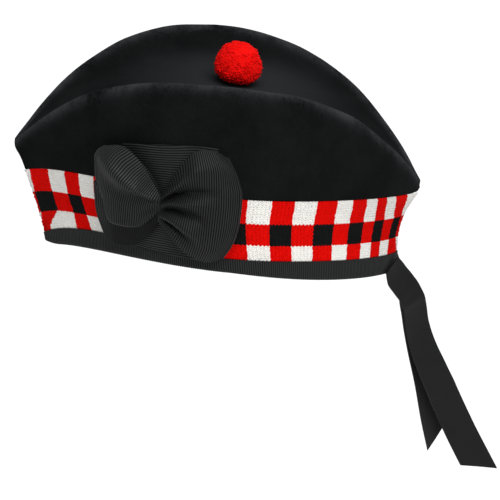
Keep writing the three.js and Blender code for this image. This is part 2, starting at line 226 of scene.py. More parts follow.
def gridFaces(rows, columns, closed=False, start=0):
    i = np.arange(rows if closed else rows - 1)[:, None]
    j = np.arange(columns - 1)[None, :]
    here = start + i * columns + j
    below = start + ((i + 1) % rows) * columns + j
    return np.stack([here, below, below + 1, here + 1], axis=-1).reshape(-1, 4)


# A strip of faces between two lists of points
def stripFaces(first, second):
    return np.stack([first[:-1], second[:-1], second[1:], first[1:]], axis=-1)


# Faces of a shell: a grid of points outside, the same inside after it, and strips along the edges
def shellFaces(rows, columns, closed=False, openEnds=False, start=0):
    back = rows * columns
    index = start + np.arange(back).reshape(rows, columns)
    if closed:
        index = np.concatenate([index, index[:1]])
    faces = [
        gridFaces(rows, columns, closed, start),
        gridFaces(rows, columns, closed, start + back)[:, ::-1],
        stripFaces(index[:, 0] + back, index[:, 0])[:, ::-1],
        stripFaces(index[:, -1], index[:, -1] + back)[:, ::-1],
    ]
    if not closed and not openEnds:
        faces.append(stripFaces(index[0], index[0] + back)[:, ::-1])
        faces.append(stripFaces(index[-1] + back, index[-1])[:, ::-1])
    return np.concatenate(faces)


# Ribbon of some thickness about a grid of its middle, with raised cords on both faces
def clothSheet(grid, thickness, cords, cordHeight, closed=False):
    normals = gridNormals(grid, closed)
    half = (thickness / 2 + (cords - cordSink) * cordHeight)[..., None]
    outer = grid + normals * half
    inner = grid - normals * half
    points = np.concatenate([outer.reshape(-1, 3), inner.reshape(-1, 3)])
    return points, shellFaces(*grid.shape[:2], closed), np.tile(cords.ravel(), 2)


# Rounded cords side by side, as grosgrain has them across its length: 0 in the grooves, 1 on the crests
def cordShape(length, pitch):
    return 0.5 - 0.5 * np.cos(2 * math.pi * length / pitch)


# Gentle unevenness over a surface: a few long waves, each with its own way and start
waveWays = np.array([
    [0.3, 1.0, 0.5],
    [-0.5, 0.7, 1.1],
    [0.9, -0.6, 0.8],
    [0.2, 1.6, -1.2],
    [-1.1, 1.9, 0.4],
])
waveStarts = np.array([0.4, 2.1, 3.7, 5.2, 1.3])


def softUneven(points, size, height):
    turns = points @ (waveWays.T * 2 * math.pi / size) + waveStarts
    return height * np.sin(turns).mean(axis=-1)


def bakeModifiers(piece):
    bpy.context.view_layer.update()
    ready = piece.evaluated_get(bpy.context.evaluated_depsgraph_get())
    mesh = bpy.data.meshes.new_from_object(ready)
    piece.modifiers.clear()
    old = piece.data
    piece.data = mesh
    bpy.data.meshes.remove(old)
    mesh.name = piece.name


# One piece of the hat, on the root body, with the part it replaces hidden. Cords are what its material
# reads at each point: on ribbon 0 in a groove and 1 on a crest, lowered or raised where a piece paints
# shade or light with them, and on the crown a painted highlight, with some wear, along the two ridges.
def makePiece(name, points, faces, materials, node, faceMaterials=None, sharpAngle=None,
              weld=None, cords=None):
    mesh = bpy.data.meshes.new(name)
    mesh.from_pydata((points * mm).tolist(), [], faces.tolist())
    if cords is not None:
        shade = mesh.attributes.new("cord", "FLOAT", "POINT")
        shade.data.foreach_set("value", np.asarray(cords, np.float32))
    for material in materials:
        mesh.materials.append(material)
    if faceMaterials is not None:
        mesh.polygons.foreach_set("material_index", np.asarray(faceMaterials, np.int32))
    mesh.shade_smooth()
    piece = bpy.data.objects.new(name, mesh)
    bpy.context.scene.collection.objects.link(piece)
    if weld:
        seam = piece.modifiers.new("weld", "WELD")
        seam.merge_threshold = weld * mm
        bakeModifiers(piece)
    if sharpAngle:
        piece.data.set_sharp_from_angle(angle=math.radians(sharpAngle))
    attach(piece, "root")
    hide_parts(node)
    print(f"{name}: {sum(len(p.vertices) - 2 for p in piece.data.polygons)} triangles")
    return piece


# The wall of the hat in level rings, rim to ridge. Columns: nose, nape and half are how far a ring reaches
# past the rim at the front, the back and each side; low, rise and tail its heights there; then the taper of
# its front and back ends, and how late it drops towards them.
wall = {
    "rimLength": 200,
    "rimWidth": 156,
    "rimRise": 16,
    "tipReach": 1.2,  # how far the two ends move for each mm that the wall is moved out
    "halvings": 20,  # steps for finding a level, and for measuring round the hat
    "measures": 3001,
    "rings": [
        [-0.6, 0, 0, -4.2, 1.8, 0.4, 2.45, 1.7, 2.35, 1.45],  # rim
        [0.6, -1.5, 0, 2.5, 9.2, 10.5, 2.6, 1.7, 3.2, 2],  # top of the binding
        [9, -0.7, 0.4, 25, 29, 32, 2.8, 1.7, 2.2, 2],  # middle of the band
        [14.8, 5.4, 0, 38.5, 43, 47.5, 2.8, 1.7, 2.2, 2.05],  # hem, where the dice end
        [18, 7, 1.2, 45.5, 62, 50.6, 2.6, 1.7, 2.2, 2.15],
        [21.4, 7.4, -3, 51, 82, 53.4, 2.3, 1.7, 2.5, 2.35],
        [22.2, 6.8, -10, 54.4, 95, 54.8, 2.05, 1.7, 2.7, 2.5],  # shoulder
        [22, 5.8, -16, 55.6, 99, 55, 1.93, 1.7, 2.8, 2.6],  # ridge
    ],
}
bindingTop, bandMiddle, hem, shoulder, ridge = 1, 2, 3, 6, 7  # levels with a name
hemSplit = 0.012  # half the seam between band and crown, in levels


# A point of the wall: along is 1 at the front and -1 at the back, side 1 on the left and -1 on the right
def wallPoint(level, along, side, out):
    given = (np.asarray(v, float) for v in (level, along, side, out))
    level, along, side, out = np.broadcast_arrays(*given)
    nose, nape, half, low, rise, tail, noseTaper, napeTaper, noseArch, napeArch = np.moveaxis(
        between(wall["rings"], level), -1, 0)
    front = -wall["rimLength"] / 2 - nose - wall["tipReach"] * out
    back = wall["rimLength"] / 2 + nape + wall["tipReach"] * out
    taper = (noseTaper * (1 + along) + napeTaper * (1 - along)) / 2
    reach = wall["rimWidth"] / 2 + half + out
    sideHeight = wall["rimRise"] + rise
    endHeight = np.where(along > 0, low, tail)
    arch = np.where(along > 0, noseArch, napeArch)
    x = side * reach * np.sqrt(np.maximum(1 - along**2, 0)) ** taper
    y = (front + back) / 2 - along * (back - front) / 2
    z = sideHeight + (endHeight - sideHeight) * np.abs(along) ** arch
    return np.stack([x, y, z], axis=-1)


# The left wall as a height field, found by halving the span of levels
def wallX(y, z):
    def alongAt(level):
        front = wallPoint(level, 1, 1, 0)[..., 1]
        back = wallPoint(level, -1, 1, 0)[..., 1]
        return np.clip((front + back - 2 * y) / (back - front), -1, 1)

    low = np.zeros_like(y)
    high = np.full_like(y, shoulder)
    for _ in range(wall["halvings"]):
        level = (low + high) / 2
        under = wallPoint(level, alongAt(level), 1, 0)[..., 2] < z
        low = np.where(under, level, low)
        high = np.where(under, high, level)
    return wallPoint(low, alongAt(low), 1, 0)[..., 0]


def overWall(y, z, out):
    y, z, out = (np.asarray(v, float) for v in np.broadcast_arrays(y, z, out))
    x = wallX(y, z)
    normal = unit(np.stack([np.ones_like(x), x - wallX(y + 1, z), x - wallX(y, z + 1)], axis=-1))
    return np.stack([x, y, z], axis=-1) + normal * out[..., None]


# Distance along one side of the band, front to back, for even stitches and cords
alongSteps = np.cos(np.linspace(0, math.pi, wall["measures"]))
sideLength = lengthAlong(wallPoint(bandMiddle, alongSteps, 1, 0))


# Round the hat by distance from the front tip: positive on the left, negative on the right
def aroundHat(distance):
    along = np.interp(np.abs(distance), sideLength, alongSteps)
    return along, np.where(distance < 0, -1.0, 1.0)


# Milled wool: knitted, shrunk and brushed until the stitches close into felt. Dead black and matt. Its
# colour carries a painted sheen, greyer where the felt faces up and is seen edge on, and a painted
# highlight, with some wear, palest along the two ridges.
def milledWool():
    patchSize, fibreSize = 22, 1.6  # the fibre is drawn twice as coarse, to show
    fibreRelief = 0.5
    sheenFullTo, sheenGoneFrom = 20, 70  # from the middle: the painted sheen is full out to the first and gone from the second, towards both points
    material, tree = newMaterial("milledWool")
    place = addNode(tree, "TexCoord").outputs["Object"]
    wear = addNode(tree, "TexNoise", {"Scale": 1000 / patchSize, "Detail": 4.0, "Roughness": 0.6},
                   {"Vector": place})
    fibre = addNode(tree, "TexNoise", {
        "Scale": 1000 / fibreSize,
        "Detail": 6.0,
        "Roughness": 0.75,
        "Distortion": 0.6,
    }, {"Vector": place})
    blend = addNode(tree, "Math", {"operation": "MULTIPLY_ADD", 1: 0.6},
                    {0: fibre.outputs["Fac"], 2: wear.outputs["Fac"]})
    shade = addNode(tree, "MapRange", {"From Min": 0.62, "From Max": 0.98},
                    {"Value": blend.outputs["Value"]})
    dark = addNode(tree, "MixRGB", {"Color1": linear("#0b0c0c"), "Color2": linear("#121313")},
                   {"Fac": shade.outputs["Result"]})
    # painted sheen: greyer where the felt is seen edge on and faces up, fading out towards both points
    edgeOn = addNode(tree, "LayerWeight", {"Blend": 0.5})
    edgeOnSheen = addNode(tree, "MapRange", {"From Min": 0.2, "From Max": 0.8, "interpolation_type": "SMOOTHSTEP"},
                  {"Value": edgeOn.outputs["Facing"]})
    facing = addNode(tree, "SeparateXYZ", {}, {"Vector": addNode(tree, "NewGeometry").outputs["Normal"]})
    upward = addNode(tree, "MapRange", {"From Min": 0.3, "From Max": 0.95}, {"Value": facing.outputs["Z"]})
    fromMiddle = addNode(tree, "Math", {"operation": "ABSOLUTE"},
                         {0: addNode(tree, "SeparateXYZ", {}, {"Vector": place}).outputs["Y"]})
    # the painted sheen fades out from the middle towards both points
    length = addNode(tree, "MapRange", {
        "From Min": sheenFullTo * mm,
        "From Max": sheenGoneFrom * mm,
        "To Min": 1.0,
        "To Max": 0.0,
    }, {"Value": fromMiddle.outputs["Value"]})
    above = addNode(tree, "Math", {"operation": "MULTIPLY"},
                    {0: edgeOnSheen.outputs["Result"], 1: upward.outputs["Result"]})
    paintedSheenMask = addNode(tree, "Math", {"operation": "MULTIPLY"},
                     {0: above.outputs["Value"], 1: length.outputs["Result"]})
    # painted sheen colour
    paintedSheen = addNode(tree, "MixRGB", {"Color2": linear("#242527")},
                      {"Fac": paintedSheenMask.outputs["Value"], "Color1": dark.outputs["Color"]})
    # painted highlight, with some wear, along the two ridges, from the crown's cord value
    crest = addNode(tree, "Attribute", {"attribute_name": "cord"})
    ridgeWearAndLight = addNode(tree, "Math", {"operation": "MULTIPLY"},
                     {0: crest.outputs["Fac"], 1: shade.outputs["Result"]})
    color = addNode(tree, "MixRGB", {"Color2": linear("#343537")},
                    {"Fac": ridgeWearAndLight.outputs["Value"], "Color1": paintedSheen.outputs["Color"]})
    bump = addNode(tree, "Bump", {"Strength": 0.5, "Distance": fibreRelief * mm},
                   {"Height": fibre.outputs["Fac"]})
    felt = addNode(tree, "BsdfPrincipled", {
        "Roughness": 1.0,
        "Specular IOR Level": 0.03,
        "Sheen Weight": 0.008,
        "Sheen Roughness": 0.4,
        "Sheen Tint": linear("#c6ccd4"),
    }, {"Base Color": color.outputs["Color"], "Normal": bump.outputs["Normal"]})
    addNode(tree, "OutputMaterial", {}, {"Surface": felt.outputs["BSDF"]})
    return material


# Knitting wool: two soft plies with a halo of fibre. Matt and slightly uneven in its dye.
def knittingWool(name, deep, pale, sheen):
    dyeSize, plySize, plyRelief = 3.5, 0.7, 0.3
    material, tree = newMaterial(name)
    place = addNode(tree, "TexCoord").outputs["Object"]
    dye = addNode(tree, "TexNoise", {"Scale": 1000 / dyeSize, "Detail": 3.0}, {"Vector": place})
    ply = addNode(tree, "TexNoise", {"Scale": 1000 / plySize, "Detail": 4.0, "Roughness": 0.7},
                  {"Vector": place})
    color = addNode(tree, "MixRGB", {"Color1": linear(deep), "Color2": linear(pale)},
                    {"Fac": dye.outputs["Fac"]})
    fuzz = addNode(tree, "Bump", {"Strength": 0.4, "Distance": plyRelief * mm},
                   {"Height": ply.outputs["Fac"]})
    yarn = addNode(tree, "BsdfPrincipled", {
        "Roughness": 0.9,
        "Specular IOR Level": 0.04,
        "Sheen Weight": sheen,
        "Sheen Roughness": 0.5,
        "Sheen Tint": linear(pale),
    }, {"Base Color": color.outputs["Color"], "Normal": fuzz.outputs["Normal"]})
    addNode(tree, "OutputMaterial", {}, {"Surface": yarn.outputs["BSDF"]})
    return material


# Grosgrain: fine warp packed over thick weft cords. Black and low in gloss. Painted shade: the lower the
# cord value, the darker and less glossy the cloth, so the grooves between the cords are painted dark, and
# so are the places where a piece lowers its cords.
def grosgrain(name, deep, pale, grooveShade, roughness, gloss):
    dyeSize, warpSize, warpRelief = 9, 0.5, 0.2  # the warp is drawn twice as coarse, to show
    material, tree = newMaterial(name)
    place = addNode(tree, "TexCoord").outputs["Object"]
    dye = addNode(tree, "TexNoise", {"Scale": 1000 / dyeSize, "Detail": 3.0}, {"Vector": place})
    warp = addNode(tree, "TexNoise", {"Scale": 1000 / warpSize, "Detail": 3.0, "Roughness": 0.6},
                   {"Vector": place})
    cord = addNode(tree, "Attribute", {"attribute_name": "cord"})
    color = addNode(tree, "MixRGB", {"Color1": linear(deep), "Color2": linear(pale)},
                    {"Fac": dye.outputs["Fac"]})
    # painted shade: the lower the cord value, the darker the cloth
    crest = addNode(tree, "MixRGB", {"Color1": linear(grooveShade)},
                    {"Fac": cord.outputs["Fac"], "Color2": color.outputs["Color"]})
    # painted shade: and the less its gloss
    shine = addNode(tree, "Math", {"operation": "MULTIPLY", 1: gloss}, {0: cord.outputs["Fac"]})
    thread = addNode(tree, "Bump", {"Strength": 0.25, "Distance": warpRelief * mm},
                     {"Height": warp.outputs["Fac"]})
    cloth = addNode(tree, "BsdfPrincipled", {
        "Roughness": roughness,
        "Sheen Weight": 0.006,
        "Sheen Roughness": 0.4,
        "Sheen Tint": linear("#c8ccd0"),
    }, {"Base Color": crest.outputs["Color"], "Specular IOR Level": shine.outputs["Value"],
        "Normal": thread.outputs["Normal"]})
    addNode(tree, "OutputMaterial", {}, {"Surface": cloth.outputs["BSDF"]})
    return material


# Crown: one felt shell with a rounded hem, two soft ridges and the trough between them
crown = {
    "stations": 170,
    "stationSpread": 0.6,  # how evenly the sections lie along the length
    "wallSteps": 42,
    "troughSteps": 84,
    "troughCrowding": 0.25,  # spacing of the columns beside a ridge against the mean
    "felt": 2.2,
    "hemProud": 1.0,
    "proudEnds": 8,  # how late the proud hem dies away towards the two points
    "hemRound": 0.055,  # levels over which the hem rolls in
    "hemRows": (0, 0.12, 0.3, 0.6),
    "hemTuck": 0.8,  # how far its outside rolls in, and its inside out
    "innerTuck": -0.5,
    "napeFirm": 0.8,  # how much less the hem rolls in at the back point, and from where
    "napeFirmFrom": -0.9,
    "napeReach": 0.6,  # how much further the sides of the back point reach, and the hem under it again
    "napeFlank": (-0.85, -0.95),
    "napeHem": 1.2,  # levels over which the hem's reach dies away
    "napeBlunt": 1.2,  # how far its tip stays behind, as a share of that, and over which levels
    "napeBluntOver": (0.3, 1.5),
    "troughDepth": 15,
    "troughCurve": 4,  # how flat the floor of the trough is
    "ridgeSoftening": 110,  # rounds of softening, and the share of the way in each
    "softenShare": 0.6,
    "ridgeSpan": 10,
    "ridgeLift": 15,
    "ridgeWearAndHighlight": 4.5,  # how far from a ridge the painted highlight, with some wear, reaches
    # the right ridge waves a little: where along the hat, and how far up
    "waveAt": (-115, -100, -80, -62, -40, -15, 5, 25, 42, 62, 90, 105),
    "wave": (0.8, 2.0, 1.2, 0.5, 1.1, 1.7, 0.5, -0.2, -0.6, 0.5, 1.1, 0.5),
    "unevenSize": 70,
    "unevenHeight": 0.6,
    "evenColumns": 8,  # how far in from the hem and the two points it stays even
    "evenRows": 6,
    "seam": 0.02,  # points nearer than this are one
}


def crownGrid(inset):
    c = crown
    u = np.linspace(0, 1, c["stations"] + 1)
    alongs = c["stationSpread"] * (1 - 2 * u) + (1 - c["stationSpread"]) * np.cos(math.pi * u)
    start = hem + hemSplit
    levels = np.concatenate([start + c["hemRound"] * np.array(c["hemRows"]),
                             np.linspace(start + c["hemRound"], ridge, c["wallSteps"] + 1)])
    along, level = np.meshgrid(alongs, levels, indexing="ij")
    roll = 1 - np.clip((level - start) / c["hemRound"], 0, 1)
    roll = roll * (1 - c["napeFirm"] * smoothStep(c["napeFirmFrom"], -1, along))
    tuck = c["hemTuck"] if inset == 0 else c["innerTuck"]
    out = c["hemProud"] * smoothStep(0, 1, hem + 1 - level) * (1 - along**c["proudEnds"]) - inset
    out = out - (1 - np.sqrt(np.clip(1 - roll**2, 0, 1))) * tuck
    left = wallPoint(level, along, 1, out)
    left[..., 2] -= inset * smoothStep(shoulder - 1, ridge, level)
    # the back point: its flanks and its hem reach out, and its tip stays blunt
    flankFrom, flankTo = c["napeFlank"]
    bluntFrom, bluntTo = (hem + rise for rise in c["napeBluntOver"])
    under = smoothStep(hem + c["napeHem"], hem, level)
    under = under - c["napeBlunt"] * smoothStep(bluntFrom, bluntTo, level)
    overhang = smoothStep(flankFrom, flankTo, along) + under * smoothStep(flankTo, -1, along)
    left[..., 1] += c["napeReach"] * overhang
    right = left * np.array([-1, 1, 1])
    edge = left[:, -1:]
    t = np.linspace(0, 1, c["troughSteps"] + 1)[None, 1:-1]
    across = 1 - 2 * t + (1 - c["troughCrowding"]) / math.pi * np.sin(2 * math.pi * t)
    depth = c["troughDepth"] * (1 - alongs[:, None] ** 2)
    fall = depth * (1 - np.abs(across) ** c["troughCurve"])
    trough = np.stack([across * edge[..., 0], edge[..., 1] + 0 * across, edge[..., 2] - fall], axis=-1)
    grid = np.concatenate([left, trough, right[:, ::-1]], axis=1)
    # soften the folds at the ridges, then lift them back to their height
    number = np.arange(grid.shape[1])
    ridges = (left.shape[1] - 1, grid.shape[1] - left.shape[1])
    near = np.clip(sum(bell(number - r, c["ridgeSpan"]) for r in ridges), 0, 1)
    sharp = grid[:, ridges]
    for _ in range(c["ridgeSoftening"]):
        middle = (np.roll(grid, 1, axis=1) + np.roll(grid, -1, axis=1)) / 2
        grid = grid + (middle - grid) * (c["softenShare"] * near)[None, :, None]
    for k, r in enumerate(ridges):
        lift = bell(number - r, c["ridgeLift"])
        grid = grid + (sharp[:, k] - grid[:, r])[:, None] * lift[None, :, None]
    wave = np.interp(sharp[:, 1, 1], c["waveAt"], c["wave"])
    grid[..., 2] += wave[:, None] * bell(number - ridges[1], c["ridgeLift"])
    # paler along both ridges: a painted highlight, with some wear
    fromRidge = [np.linalg.norm(grid - grid[:, r:r + 1], axis=-1) for r in ridges]
    wearAndHighlight = sum(bell(away, c["ridgeWearAndHighlight"]) for away in fromRidge)
    return grid, np.clip(wearAndHighlight, 0, 1)


# 0 at both ends of a row of points, and 1 from some points in
def endFade(count, reach):
    number = np.arange(count)
    return smoothStep(0, reach, np.minimum(number, number[::-1]))


def makeCrown():
    c = crown
    outer, wearAndHighlight = crownGrid(0)
    inner, _ = crownGrid(c["felt"])
    rows, columns = outer.shape[:2]
    uneven = softUneven(outer, c["unevenSize"], c["unevenHeight"])
    uneven = uneven * endFade(columns, c["evenColumns"])[None] * endFade(rows, c["evenRows"])[:, None]
    outer = outer - gridNormals(outer) * uneven[..., None]
    points = np.concatenate([outer.reshape(-1, 3), inner.reshape(-1, 3)])
    makePiece("woolCrown", points, shellFaces(rows, columns, openEnds=True), [milledWool()], "crown",
              weld=c["seam"], cords=np.concatenate([wearAndHighlight.ravel(), 0 * wearAndHighlight.ravel()]))


makeCrown()

# Diced band: stocking stitch, each stitch a V of two plump legs over a thin backing
knit = {
    "dieStitches": 6,
    "dieRows": 10,
    "rowHeights": (43.0, 29.7, 17.6, 5.5),  # edges of the three rows of dice, above the rim's side
    "hiddenRows": 3,  # stitches left out under the binding
    # where the edges of some dice lie, by distance from the front tip; those between are spread evenly
    "dieAt": (-20.4, 0, 2, 4, 11, 13, 15, 17, 19, 21.6),
    "edgeAt": (-273.2, 0.9, 28.5, 52.4, 148, 175, 204, 228.4, 248, 273.2),
    # how far the top row leans towards the back, by the same distance
    "leanFrom": (-267, -258, -248, -240, -216, -190, -148, -60, -30,
                 0, 30, 60, 148, 190, 216, 240, 248, 258, 267, 273.2),
    "lean": (9.8, 11.2, 9.7, 8.4, 5.2, 2.8, 1.1, -2, 0,
             2, 2.2, 2.2, -1.1, -2.8, -5.2, -8.4, -9.7, -11.2, -9.8, 0),
    # how far the foot of the bottom row runs on towards the back
    "footFrom": (250, 258, 267, 270, 273.2),
    "footLean": (0, 0.3, 5, 3, 0),
    "footRun": 8,  # height over which it does so
    "flare": 1.6,  # how far the top is turned out under the back point, and from where
    "flareFrom": -0.85,
    "sag": 1.5,  # how much higher the lower rows meet at the front, and how wide and tall that is
    "sagWide": 45,
    "sagTall": 7,
    "foot": 4.5,  # lower edge, behind the binding, and how much higher it is at the front tip
    "tipFoot": 3.0,
    "tipFrom": 0.9,
    "pull": 10.5,  # how far a die near the front is drawn forward where the binding was sewn
    "pullAt": 1.0,
    "pullSpan": 0.75,
    "pullOver": (2, -8),  # heights from the bottom row's upper edge, between which the pull grows
    # the legs of a stitch, in stitches and rows, and in mm where they stand out
    "legFrom": 0.03,
    "legSpread": 0.43,
    "legWidth": 0.27,
    "legFoot": -0.85,
    "legReach": 1.6,
    "legSlant": 0.12,
    "legHeight": 0.75,
    "legEdge": 0.95,  # how much lower the two edges of a leg lie, as a share and in mm
    "legTuck": 0.12,
    # the cross-sections of a leg: where along it, how wide and how high
    "legAt": (0.0, 0.3, 0.72, 1.0),
    "legTaper": (0.35, 1.0, 1.0, 0.5),
    "legRise": (-0.35, 0.85, 1.0, -0.1),
    "sway": 0.05,  # unevenness of hand-fed yarn, in stitches and as a share
    "swell": 0.12,
    "lowest": 5,  # height where the stitches end, and how far they pass the top edge
    "overTop": 0.4,
    "thickness": 2.0,
    "backingIn": 0.6,  # depth of the backing under the stitches, and under the top edge
    "backingTop": 0.15,
    "backingRows": 4,  # to a die in the upper two rows
    "backingLines": (14.0, 9.0),  # heights of its lines in the bottom row
}
levelSteps = np.linspace(0, hem, 301)
heightSteps = between(wall["rings"], levelSteps)[:, 4]  # what the rings rise to at the sides


def bandLevel(height):
    return np.interp(height, heightSteps, levelSteps)


# 0 red, 1 white, 2 black: columns of white, red, white stand between columns of red, black, red
def dieColor(column, row):
    pale = np.mod(column, 2) == 1
    return np.where(pale, np.where(row == 1, 0, 1), np.where(row == 1, 2, 0))


def bandPoint(die, height, out):
    k = knit
    top, upper, lower, _ = k["rowHeights"]
    distance = np.interp(die, k["dieAt"], k["edgeAt"])
    lean = np.interp(distance, k["leanFrom"], k["lean"]) * np.clip((height - upper) / (top - upper), 0, 1)
    pullFrom, pullTo = (lower + rise for rise in k["pullOver"])
    pull = k["pull"] * bell(die - k["pullAt"], k["pullSpan"]) * smoothStep(pullFrom, pullTo, height)
    run = np.interp(np.abs(distance), k["footFrom"], k["footLean"])
    run = run * np.clip((lower - height) / k["footRun"], 0, 1)
    fromSag = (distance / k["sagWide"]) ** 2 + ((height - lower) / k["sagTall"]) ** 2
    height = height + k["sag"] * np.exp(-fromSag)
    along, side = aroundHat(distance + lean - pull + np.sign(distance) * run)
    height = np.maximum(height, k["foot"] + k["tipFoot"] * smoothStep(k["tipFrom"], 1, along))
    place = wallPoint(bandLevel(height), along, side, out)
    place[..., 1] += k["flare"] * smoothStep(lower, top, height) * smoothStep(k["flareFrom"], -1, along)
    return place


def makeBand():
    k = knit
    wale = 1 / k["dieStitches"]
    first, last = k["dieAt"][0], k["dieAt"][-1]
    edges = np.array(k["rowHeights"])
    waleNumber = np.arange(math.ceil(first / wale), math.floor(last / wale))
    rowNumber = np.arange(3 * k["dieRows"] - k["hiddenRows"])
    dieRow = rowNumber // k["dieRows"]
    top = edges[dieRow]
    tall = (top - edges[dieRow + 1]) / k["dieRows"]
    stitch, row, leg = np.meshgrid(waleNumber, rowNumber, (-1, 1), indexing="ij")
    stitch, row, leg = stitch.ravel(), row.ravel(), leg.ravel()
    count = len(stitch)
    # each leg is a leaf: cross-sections of three points, tucked under at both ends
    t, taper, rise = (np.array(k[key])[None, :, None] for key in ("legAt", "legTaper", "legRise"))
    a = np.array([-1.0, 0.0, 1.0])[None, None, :]
    width = k["legWidth"] * taper
    lift = k["legHeight"] * rise
    sway = chance.normal(0, k["sway"], (count, 1, 1))
    swell = 1 + chance.normal(0, k["swell"], (count, 1, 1))
    lean = leg[:, None, None]
    across = stitch[:, None, None] + 0.5 + lean * (k["legFrom"] + k["legSpread"] * t) + a * width + sway
    mid = (top[row] - (row % k["dieRows"] + 0.5) * tall[row])[:, None, None]
    height = mid + tall[row][:, None, None] * (k["legFoot"] + k["legReach"] * t - k["legSlant"] * a * lean)
    height = np.clip(height, k["lowest"], edges[0] + k["overTop"])
    out = lift * swell * (1 - k["legEdge"] * a**2) - k["legTuck"] * a**2
    points = bandPoint(across * wale, height + 0 * across, out + 0 * across).reshape(-1, 3)
    leaf = gridFaces(t.size, a.size)
    faces = (leaf[None] + (np.arange(count) * t.size * a.size)[:, None, None]).reshape(-1, 4)
    colors = np.repeat(dieColor(stitch // k["dieStitches"], row // k["dieRows"]), len(leaf))
    # the backing, in blocks of two stitches so that it carries the dice as well
    blocks = k["dieStitches"] // 2
    block = np.arange(math.ceil(first * blocks), math.floor(last * blocks) + 1)
    rungs = range(k["backingRows"])
    lines = [edges[i] - (edges[i] - edges[i + 1]) * n / k["backingRows"] for i in range(2) for n in rungs]
    lines[0] = edges[0] - k["backingTop"]
    lines = np.array(lines + [edges[2], *k["backingLines"], k["foot"]])
    die, height = np.meshgrid(block / blocks, lines, indexing="ij")
    outer = bandPoint(die, height, -k["backingIn"])
    inner = bandPoint(die, height, -k["thickness"])
    rows, columns = outer.shape[:2]
    faces = np.concatenate([faces, shellFaces(rows, columns, closed=True, start=len(points))])
    points = np.concatenate([points, outer.reshape(-1, 3), inner.reshape(-1, 3)])
    lineRow = np.searchsorted(-edges[1:3], -(lines[:-1] + lines[1:]) / 2)
    backColors = dieColor((block // blocks)[:, None], lineRow[None, :]).ravel()
    rimColors = np.zeros(2 * rows, int)
    colors = np.concatenate([colors, backColors, backColors, rimColors])
    wools = [
        knittingWool("redKnittingWool", deep="#bb0502", pale="#d30a05", sheen=0.03),
        knittingWool("whiteKnittingWool", deep="#d0cdc7", pale="#e1dfdb", sheen=0.05),
        knittingWool("blackKnittingWool", deep="#0d0e0e", pale="#161717", sheen=0.02),
    ]
    makePiece("dicedBand", points, faces, wools, "diced_band", faceMaterials=colors)


makeBand()

edgeAngle = 60  # degrees past which an edge of ribbon is drawn sharp

# Rim binding: ribbon folded under the edge, with its cords upright
binding = {
    "face": 0.85,  # middle of the ribbon outside, and inside
    "inFace": -2.85,
    "cordPitch": 1.3,
    "cordHeight": 0.3,
    "cordSamples": 4,
    "thickness": 0.85,
    "outLevels": (1.0, 0.8, 0.55, 0.32),  # rows down the outside and up the inside
    "inLevels": (0.32, 0.6, 1.0),
    "foldSteps": 7,
    "foldLevel": 0.2,
    "foldDrop": 0.27,
    "foldSquare": (0.5, 0.6),  # below 1 the fold is squarer, across and down
    "slack": 0.25,  # how far the sewn edge ripples, and how long the ripples are
    "rippleLength": 7.3,
    "rippleDrift": 1.5,
    "driftLength": 23,
    "rippleUp": 0.02,
    "rippleOut": 0.2,
    "tipRound": 0.55,  # how far the fold rises round the front tip, and from where
    "tipFrom": 0.93,
}


def makeBinding():
    b = binding
    turn = np.linspace(0, math.pi, b["foldSteps"])
    squareAcross, squareDown = b["foldSquare"]
    middle = (b["face"] + b["inFace"]) / 2
    half = (b["face"] - b["inFace"]) / 2
    corner = np.sign(np.cos(turn)) * np.abs(np.cos(turn)) ** squareAcross
    path = [(level, b["face"]) for level in b["outLevels"]]
    path += [(b["foldLevel"] - b["foldDrop"] * math.sin(s) ** squareDown, middle + half * c)
             for s, c in zip(turn, corner)]
    path += [(level, b["inFace"]) for level in b["inLevels"]]
    path = np.array(path)
    total = 2 * sideLength[-1]
    count = round(total / b["cordPitch"])
    steps = count * b["cordSamples"]
    distance = (np.arange(steps) / steps - 0.5) * total
    place, part = np.meshgrid(distance, np.arange(len(path)), indexing="ij")
    along, side = aroundHat(place)
    drift = b["rippleDrift"] * np.sin(place / b["driftLength"])
    ripple = b["slack"] * np.sin(place / b["rippleLength"] + drift)
    up, out = path[part, 0], path[part, 1]
    level = up + b["rippleUp"] * ripple * (up == 1)
    rise = np.clip((along - b["tipFrom"]) / (1 - b["tipFrom"]), 0, 1) ** 2
    level = level + b["tipRound"] * (1 - level) * rise
    grid = wallPoint(level, along, side, out + b["rippleOut"] * ripple * up)
    lines = cordShape(place, total / count)
    points, faces, cords = clothSheet(grid, b["thickness"], lines, b["cordHeight"], True)
    # its groove colour is painted shade in the grooves between the cords
    ribbon = grosgrain("bindingGrosgrain", deep="#1e1f1f", pale="#252626", grooveShade="#0a0a0a",
                       roughness=0.6, gloss=0.28)
    piece = makePiece("rimBinding", points, faces, [ribbon], "rim_binding",
                      sharpAngle=edgeAngle, cords=cords)


makeBinding()

# Cockade backing: a flat length of wide grosgrain with its cords level
backing = {
    "front": -61,
    "back": -12,
    "length": 62,
    "topFront": 78,
    "topBack": 86.5,
    "arch": 1.8,
    "lap": 2.5,
    "middle": 2.2,  # how far its middle stands off the wall
    "thickness": 0.85,
    "cordPitch": 1.3,
    "cordHeight": 0.3,
    "cordSamples": 4,
    "columns": 36,
    "wander": 0.5,  # how unevenly the cords lie, and over which lengths
    "wanderLengths": (6.1, 4.7, 11),
    "wanderDrift": 1.3,
    "swell": 0.12,
    "swellLengths": (9, 13),
}


